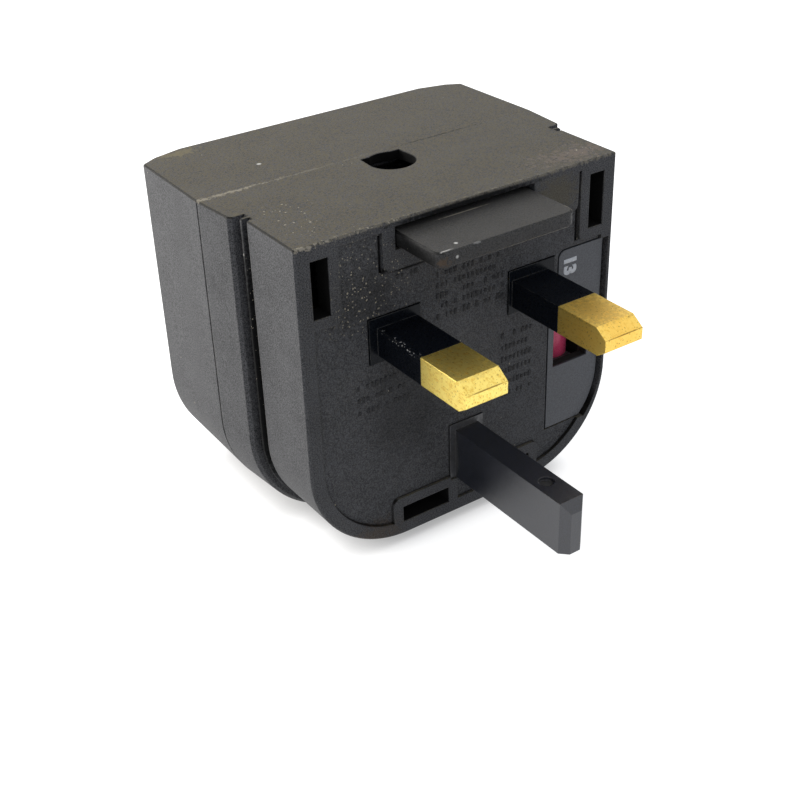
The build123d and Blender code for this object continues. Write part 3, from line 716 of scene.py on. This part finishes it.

# %% [markdown]
# ## The earth pin and the sleeves
# The earth pin is a smooth moulding that mirrors the pale table, so it has the most gloss. The
# sleeves of the other two pins are the blackest plastic here, with white specks on the one edge
# that rubs in a socket. Neither lies under dust, because a socket wipes them clean.

# %% Pin plastics
# The dimple is painted darker.
EARTH_DIMPLE = Mark((0.0, -17.1, -18.6), (1.4, 1.4, 0.7), GRIME_AND_SHADE, share=0.8, ragged=0.2)
# Painted shadow on the earth pin by its root, where the body keeps light away.
EARTH_ROOT_SHADE = Mark((0.0, 0.3, -22.2), (6.0, 1.3, 9.0), GRIME_AND_SHADE, share=0.8, ragged=0.3)
SLEEVE_SPECKS = Mark((-14.2, -4.5, 1.9), (0.7, 8.0, 0.7), WHITE, share=0.85, ragged=0.4, dots=0.8)
finish["earth_plastic"] = plastic(
    "earth_plastic",
    dark=colour(0.011, 0.0125, 0.019),
    light=colour(0.029, 0.032, 0.046),
    rough=(0.3, 0.4),
    bump=0.2,
    edge=0.3,
    edge_width=0.12 * MM,
    speck_share=0.006,
    gloss=0.9,
    marks=(EARTH_DIMPLE, EARTH_ROOT_SHADE),
)
finish["sleeve_plastic"] = plastic(
    "sleeve_plastic",
    dark=colour(0.0015, 0.0025, 0.005),
    light=colour(0.004, 0.006, 0.01),
    rough=(0.25, 0.36),
    bump=0.06,
    edge=0.35,
    edge_width=0.16 * MM,
    gloss=0.15,
    marks=(SLEEVE_SPECKS,),
)
print("pin plastics", len(finish))

# %% [markdown]
# ## The fuse carrier, the fuse and the insert
# The carrier is a smoother and bluer plastic than the housing, and the walls of its window have
# painted shade. The fuse is a red tube, and the insert inside is plain moulded plastic that few
# will see.
# All three take the same recipe, with little wear, because hands don't reach them.

# %% Carrier, fuse and insert
finish["carrier_plastic"] = plastic(
    "carrier_plastic",
    dark=colour(0.06, 0.064, 0.072),
    light=colour(0.12, 0.126, 0.14),
    rough=(0.36, 0.46),
    bump=0.15,
    edge=0.25,
    edge_width=0.1 * MM,
    speck_share=0.004,
    gloss=0.4,
    # Painted shade inside the fuse window.
    mouths=(Mouth((19.2, 0.55, -10.45), (3.35, 2.0, 4.2), ALONG_Y, fade=0.4),),
)
finish["fuse_body"] = plastic(
    "fuse_body",
    dark=colour(0.95, 0.07, 0.19),
    light=colour(1.0, 0.12, 0.26),
    rough=(0.25, 0.38),
    bump=0.05,
    edge=0.1,
    gloss=0.5,
)
finish["insert_plastic"] = plastic(
    "insert_plastic",
    dark=colour(0.03, 0.03, 0.03),
    light=colour(0.06, 0.06, 0.06),
    rough=(0.45, 0.6),
    bump=0.15,
    edge=0.2,
)
print("plastics", len(finish))

# %% [markdown]
# ## Metal
# The pins are drawn brass, rubbed along their length by every socket they went into, so their
# marks are a little longer along Y. A noise stretched by a Mapping node makes such marks, and drives
# the roughness, the colour and the bump together. Old brass also has fine dark pits.

# %% Metal
# Dark brown for the pits, and for the painted darker reflection on the pin tops.
TARNISH_AND_SHADE = colour(0.2, 0.1, 0.02)
METAL_EDGE_WIDTH = 0.18 * MM
METAL_EDGE_SHARE = 0.6
CLOUDS_PER_METRE = 1500.0
TARNISH_SPREAD = (0.9, 1.35)
PITS_PER_METRE = 2900.0
LARGEST_PIT = 0.36
PIT_STRENGTH = 0.42
LINE_DEPTH = 0.02 * MM


def metal(name, bright, dull, rough, along, lines, pits=0.0, marks=()):
    """Metal with drawn lines: `along` gives the pattern's features to the metre on each axis."""
    material, tree, shader, position = start_material(name)
    mapped = place(tree, "ShaderNodeMapping", {"Vector": position, "Scale": along}).outputs[0]
    drawn = noise(tree, mapped, 1.0, detail=4.0, roughness=0.65)
    cloud = noise(tree, position, CLOUDS_PER_METRE, detail=5.0, roughness=0.7)
    share = between(tree, sums(tree, "ADD", drawn, cloud), *TARNISH_SPREAD)
    worn = use(tree, rubbed, Position=position, Width=METAL_EDGE_WIDTH)
    skin = blend(tree, share, bright, dull)
    skin = blend(tree, sums(tree, "MULTIPLY", worn["Mask"], METAL_EDGE_SHARE), skin, bright)
    skin, _ = add_marks(tree, position, skin, marks)
    if pits:
        dark = use(
            tree,
            specks,
            Position=position,
            Cells_per_metre=PITS_PER_METRE,
            Share=pits,
            Largest=LARGEST_PIT,
        )["Mask"]
        skin = blend(tree, sums(tree, "MULTIPLY", dark, PIT_STRENGTH), skin, TARNISH_AND_SHADE)
    tree.links.new(skin, shader.inputs["Base Color"])
    tree.links.new(between(tree, share, 0.0, 1.0, *rough), shader.inputs["Roughness"])
    shader.inputs["Metallic"].default_value = 1.0
    relief = place(
        tree,
        "ShaderNodeBump",
        {"Strength": lines, "Distance": LINE_DEPTH, "Height": drawn, "Normal": worn["Normal"]},
    )
    tree.links.new(relief.outputs[0], shader.inputs["Normal"])
    return material


print("metal recipe ready")

# %% [markdown]
# ## The brass pins
# The tops of the pins have a painted darker reflection, their ends a thin dark line where the bevel
# meets the end, and the live pin is a warmer brass than the other. One material serves both,
# because the marks have places.

# %% Pin finish
ORANGE = colour(0.95, 0.56, 0.1)
PIN_X = 11.115
ALONG_PIN = (3600.0, 1300.0, 3600.0)
LIVE_WARM = Mark((11.1, -14.0, 0.0), (7.0, 11.0, 5.0), ORANGE, share=0.65, ragged=0.2)
# Painted darker reflection on the tops of both pins.
NEUTRAL_TOP_SHADE = Mark((-11.1, -13.0, 2.0), (4.5, 6.5, 0.5), TARNISH_AND_SHADE, share=0.26, ragged=1.2)
LIVE_TOP_SHADE = Mark((11.1, -13.0, 2.0), (4.5, 5.5, 0.5), TARNISH_AND_SHADE, share=0.3, ragged=1.2)
# A thin dark line where the bevel meets the end.
END_LINES = tuple(
    Mark((x, -18.45, 0.69), (4.0, 0.3, 0.11), TARNISH_AND_SHADE, share=0.75, ragged=0.4)
    for x in (-PIN_X, PIN_X)
)
PIN_MARKS = (LIVE_WARM, NEUTRAL_TOP_SHADE, LIVE_TOP_SHADE) + END_LINES
finish["pin_brass"] = metal(
    "pin_brass",
    bright=colour(1.0, 0.8, 0.225),
    dull=colour(0.72, 0.46, 0.07),
    rough=(0.4, 0.47),
    along=ALONG_PIN,
    lines=0.25,
    pits=0.7,
    marks=PIN_MARKS,
)
print("pin marks", len(PIN_MARKS))

# %% [markdown]
# ## The metal inside
# The clips, the strips and the slit contacts are cleaner brass, which never left the housing. The
# fuse caps are plated, and the spring rings are steel. They differ only in tones and shine, so one
# loop makes them from a short list. Then every solid gets the finish that the record names for it.

# %% Inner metals
EVEN = (2600.0, 2600.0, 2600.0)
STRIP_BRIGHT = colour(0.74, 0.55, 0.24)
STRIP_DULL = colour(0.5, 0.36, 0.14)
INNER_METALS = (
    ("strip_brass", STRIP_BRIGHT, STRIP_DULL, (0.3, 0.45), 0.2),
    ("contact_brass", STRIP_BRIGHT, STRIP_DULL, (0.26, 0.4), 0.2),
    ("fuse_cap", colour(0.72, 0.70, 0.65), colour(0.5, 0.48, 0.44), (0.25, 0.4), 0.15),
    ("ring_steel", colour(0.56, 0.56, 0.57), colour(0.36, 0.36, 0.37), (0.3, 0.45), 0.2),
)
for name, bright, dull, rough, lines in INNER_METALS:
    finish[name] = metal(name, bright, dull, rough, EVEN, lines)
for part in frame["record"]["subparts"]:
    nodes[part["node"]].material_slots[0].material = finish[part["material_slot"]]
print("finishes", sorted(finish))

# %% [markdown]
# ## The table
# The adapter lies on a white table. That could be a large plane or a curved backdrop; a plane is
# enough, because nothing but white shows round the adapter.

# %% Table
TABLE_REACH = 1.2
table_z = solid_box[0].z
table_corners = [
    (x * TABLE_REACH, y * TABLE_REACH, table_z) for x, y in ((-1, -1), (1, -1), (1, 1), (-1, 1))
]
table_mesh = bpy.data.meshes.new("table")
table_mesh.from_pydata(table_corners, [], [(0, 1, 2, 3)])
table = bpy.data.objects.new("table", table_mesh)
bpy.context.scene.collection.objects.link(table)
print("table at", round(table_z / MM, 2), "mm")

# %% [markdown]
# ## The white of the table
# The table could be lit until it is white, but then it would light the pin face from below. So it
# is a dull grey to bounced light, and glows only for rays that show it: straight, mirrored or
# through glass. Close under the adapter the glow falls, and a shadow stays.

# %% Table white
TABLE_GREY = colour(0.55, 0.545, 0.535)
TABLE_ROUGH = 0.9
TABLE_GLOW = (0.35, 0.92)
CONTACT_REACH = 5 * MM
CONTACT_SAMPLES = 16
CONTACT_SPREAD = (0.2, 0.95)
WHITE_LIGHT = colour(1.0, 1.0, 1.0)


def seen_rays(tree):
    """1 for rays that show a surface, and 0 for those that only carry its light."""
    rays = place(tree, "ShaderNodeLightPath").outputs
    seen = sums(tree, "MAXIMUM", rays["Is Camera Ray"], rays["Is Glossy Ray"])
    return sums(tree, "MAXIMUM", seen, rays["Is Transmission Ray"])


table_white = bpy.data.materials.new("table_white")
table_white.use_nodes = True
tree = table_white.node_tree
shader = tree.nodes["Principled BSDF"]
shader.inputs["Base Color"].default_value = TABLE_GREY
shader.inputs["Roughness"].default_value = TABLE_ROUGH
shader.inputs["Specular IOR Level"].default_value = 0.0
open_sky = place(
    tree, "ShaderNodeAmbientOcclusion", {"Distance": CONTACT_REACH}, samples=CONTACT_SAMPLES
)
glow = between(tree, open_sky.outputs["AO"], *CONTACT_SPREAD, *TABLE_GLOW)
shader.inputs["Emission Color"].default_value = WHITE_LIGHT
tree.links.new(sums(tree, "MULTIPLY", seen_rays(tree), glow), shader.inputs["Emission Strength"])
table_mesh.materials.append(table_white)
print("table glow", TABLE_GLOW)

# %% [markdown]
# ## The sky
# A white room gives soft light from everywhere. A picture of a room could do that, but a plain
# colour is enough for a plain room. Like the table, it has two strengths: full white where it is
# seen or mirrored, and a cooler part of that where it only lights.

# %% Sky
SKY_LIGHT = 0.42
SKY_COOL = colour(0.92, 0.98, 1.1)

world = bpy.data.worlds.new("studio")
bpy.context.scene.world = world
world.use_nodes = True
tree = world.node_tree
background = tree.nodes["Background"]
seen = seen_rays(tree)
strength = sums(tree, "ADD", sums(tree, "MULTIPLY", seen, 1.0 - SKY_LIGHT), SKY_LIGHT)
tree.links.new(strength, background.inputs["Strength"])
tree.links.new(blend(tree, seen, SKY_COOL, WHITE_LIGHT), background.inputs["Color"])
print("sky", SKY_LIGHT)

# %% [markdown]
# ## The lamps
# The left side is the brightest and the pin face the darkest, so the main light stands behind the
# adapter, to the left. A large soft one hangs overhead for the flat side. A sun lamp would give
# hard shadows; square area lamps give soft ones, and softer when they are larger.

# %% Lamps
WARM_WHITE = (1.0, 0.97, 0.92)


def lamp(name, place_mm, aim_mm, size_mm, watts):
    """A square soft lamp that looks at a point."""
    data = bpy.data.lights.new(name, "AREA")
    data.size = size_mm * MM
    data.energy = watts
    data.color = WARM_WHITE
    made = bpy.data.objects.new(name, data)
    made.location = Vector(place_mm) * MM
    looks = Vector(aim_mm) - Vector(place_mm)
    made.rotation_euler = looks.to_track_quat("-Z", "Y").to_euler()
    bpy.context.scene.collection.objects.link(made)


lamp("key_behind_left", (-220, 265, 130), aim_mm=(0, 15, -5), size_mm=200, watts=1.4)
lamp("soft_overhead", (-60, 180, 560), aim_mm=(0, 15, 0), size_mm=480, watts=0.28)
print("lamps", len(bpy.data.lights))

# %% [markdown]
# ## Rows of raised dashes
# The pin face has rows of small raised dashes. Each could be a cube made by hand, but what repeats
# is a job for Geometry Nodes. First the script gives the places, in four blocks of rows.

# %% Places of the dashes
FACE_Y = 0.5
DASH_PITCH = 0.72
# Left, right, top, row count and row pitch of each block, in millimetres
DASH_BLOCKS = (
    (-11.5, -6.5, 9.6, 2, 1.3),
    (-4.5, 7.5, 6.6, 5, 1.55),
    (6.5, 12.5, -6.2, 6, 1.9),
    (-17.5, -8.5, -6.0, 3, 1.9),
)
dash_places = []
for left, right, top, rows, pitch in DASH_BLOCKS:
    count = int((right - left) / DASH_PITCH)
    for row in range(rows):
        for step in range(count):
            place_mm = (left + step * DASH_PITCH, FACE_Y, top - row * pitch)
            dash_places.append(tuple(v * MM for v in place_mm))
dash_mesh = bpy.data.meshes.new("raised_dashes")
dash_mesh.from_pydata(dash_places, [], [])
dashes = bpy.data.objects.new("raised_dashes", dash_mesh)
bpy.context.scene.collection.objects.link(dashes)
print("dashes", len(dash_places), "places")

# %% [markdown]
# ## The inputs of a tree that sets the dashes
# A tree could have its sizes written into its nodes. As named inputs, they can be changed on the
# modifier, and they show at a glance how large a dash is: under a millimetre high, and a fifth of
# one thick. The share of gaps is an input too.

# %% Inputs of the tree
GEOMETRY = "NodeSocketGeometry"

dash_tree = bpy.data.node_groups.new("Raised dashes", "GeometryNodeTree")
sockets = {}
for label, kind, value in (
    ("Places", GEOMETRY, None),
    ("Width", FLOAT, 0.42 * MM),
    ("Height", FLOAT, 0.85 * MM),
    ("Relief", FLOAT, 0.2 * MM),
    ("Gaps", FLOAT, 0.2),
    ("Material", "NodeSocketMaterial", None),
):
    sockets[label] = dash_tree.interface.new_socket(label, in_out="INPUT", socket_type=kind)
    if value is not None:
        sockets[label].default_value = value
dash_tree.interface.new_socket("Dashes", in_out="OUTPUT", socket_type=GEOMETRY)
print("inputs", list(sockets))

# %% [markdown]
# ## The nodes of the tree
# The tree leaves some places out, puts a small bar on each of the rest, and changes each bar's
# width and height at random, with fixed seeds, so that it comes out the same each time. It ends by
# making the bars real and giving them their material.

# %% Nodes of the tree
GAP_SEED = 4
SIZE_SEED = 9
LEAST_BAR = (0.4, 1.0, 0.55)
LARGEST_BAR = (1.25, 1.0, 1.0)

given = dash_tree.nodes.new("NodeGroupInput").outputs
# A random value has an output for each type of value, and the fourth one is yes or no
gaps = place(
    dash_tree,
    "FunctionNodeRandomValue",
    {"Probability": given["Gaps"], "Seed": GAP_SEED},
    data_type="BOOLEAN",
)
thinned = place(
    dash_tree,
    "GeometryNodeDeleteGeometry",
    {"Geometry": given["Places"], "Selection": gaps.outputs[3]},
)
bar_size = place(
    dash_tree,
    "ShaderNodeCombineXYZ",
    {0: given["Width"], 1: given["Relief"], 2: given["Height"]},
)
bar = place(dash_tree, "GeometryNodeMeshCube", {"Size": bar_size.outputs[0]})
sizes = place(
    dash_tree,
    "FunctionNodeRandomValue",
    {0: LEAST_BAR, 1: LARGEST_BAR, "Seed": SIZE_SEED},
    data_type="FLOAT_VECTOR",
)
set_out = place(
    dash_tree,
    "GeometryNodeInstanceOnPoints",
    {"Points": thinned.outputs[0], "Instance": bar.outputs[0], "Scale": sizes.outputs[0]},
)
real = place(dash_tree, "GeometryNodeRealizeInstances", {0: set_out.outputs[0]})
coated = place(
    dash_tree,
    "GeometryNodeSetMaterial",
    {"Geometry": real.outputs[0], "Material": given["Material"]},
)
dash_end = dash_tree.nodes.new("NodeGroupOutput")
dash_tree.links.new(coated.outputs[0], dash_end.inputs[0])
print("tree", dash_tree.name, len(dash_tree.nodes), "nodes")

# %% [markdown]
# ## The dashes made solid
# The raised dashes are darker than the face they stand on. The modifier gets its material by the
# socket's identifier. Its result becomes a plain mesh, and the modifier goes, so that the piece is
# real faces wherever it is opened.

# %% Dashes made solid
dark_dash = plastic(
    "dark_dash",
    dark=colour(0.012, 0.012, 0.013),
    light=colour(0.07, 0.07, 0.073),
    rough=(0.6, 0.75),
    edge=0.15,
    gloss=0.2,
)
modifier = dashes.modifiers.new("rows", "NODES")
modifier.node_group = dash_tree
modifier[sockets["Material"].identifier] = dark_dash
seen_now = dashes.evaluated_get(bpy.context.evaluated_depsgraph_get())
dash_solid = bpy.data.meshes.new_from_object(seen_now)
dashes.modifiers.clear()
dashes.data = dash_solid
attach(dashes, "housing")
print("dashes", len(dashes.data.polygons), "faces")

# %% [markdown]
# ## A printed number on the fuse carrier
# The carrier has a plain white number, the amperes of its fuse. It could be a mask in the plate's
# material, but a text object has clean strokes. It is a curve, so it is made a mesh, stood up against
# the plate and left a few hundredths of a millimetre proud, which is about what ink is.

# %% Printed number
NUMBER_MIDDLE = Vector((18.4, 0.5, 1.2))
NUMBER_HEIGHT = 2.1
FONT_TO_HEIGHT = 1.4
INK = 0.03
INK_SPREAD = 0.18
QUARTER_TURN = 1.5707963

text = bpy.data.curves.new("carrier_number", "FONT")
text.body = "13"
text.size = NUMBER_HEIGHT * MM * FONT_TO_HEIGHT
text.align_x = "CENTER"
text.align_y = "CENTER"
text.extrude = INK * MM
text.offset = INK_SPREAD * MM
drawn = bpy.data.objects.new("carrier_number", text)
bpy.context.scene.collection.objects.link(drawn)
seen_now = drawn.evaluated_get(bpy.context.evaluated_depsgraph_get())
number_mesh = bpy.data.meshes.new_from_object(seen_now)
bpy.data.objects.remove(drawn)
turned_down = Matrix.Rotation(-QUARTER_TURN, 4, "Z")
stood_up = Matrix.Rotation(QUARTER_TURN, 4, "X")
number_mesh.transform(Matrix.Translation(NUMBER_MIDDLE * MM) @ stood_up @ turned_down)
number = bpy.data.objects.new("carrier_number", number_mesh)
bpy.context.scene.collection.objects.link(number)
white_ink = plastic(
    "white_ink",
    dark=colour(0.82, 0.84, 0.86),
    light=colour(0.95, 0.96, 0.98),
    rough=(0.3, 0.4),
    bump=0.05,
    edge=0.0,
)
number_mesh.materials.clear()
number_mesh.materials.append(white_ink)
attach(number, "fuse_holder")
print("number", len(number_mesh.polygons), "faces")

# %% [markdown]
# ## Finish

# %% Finish
print("finished")
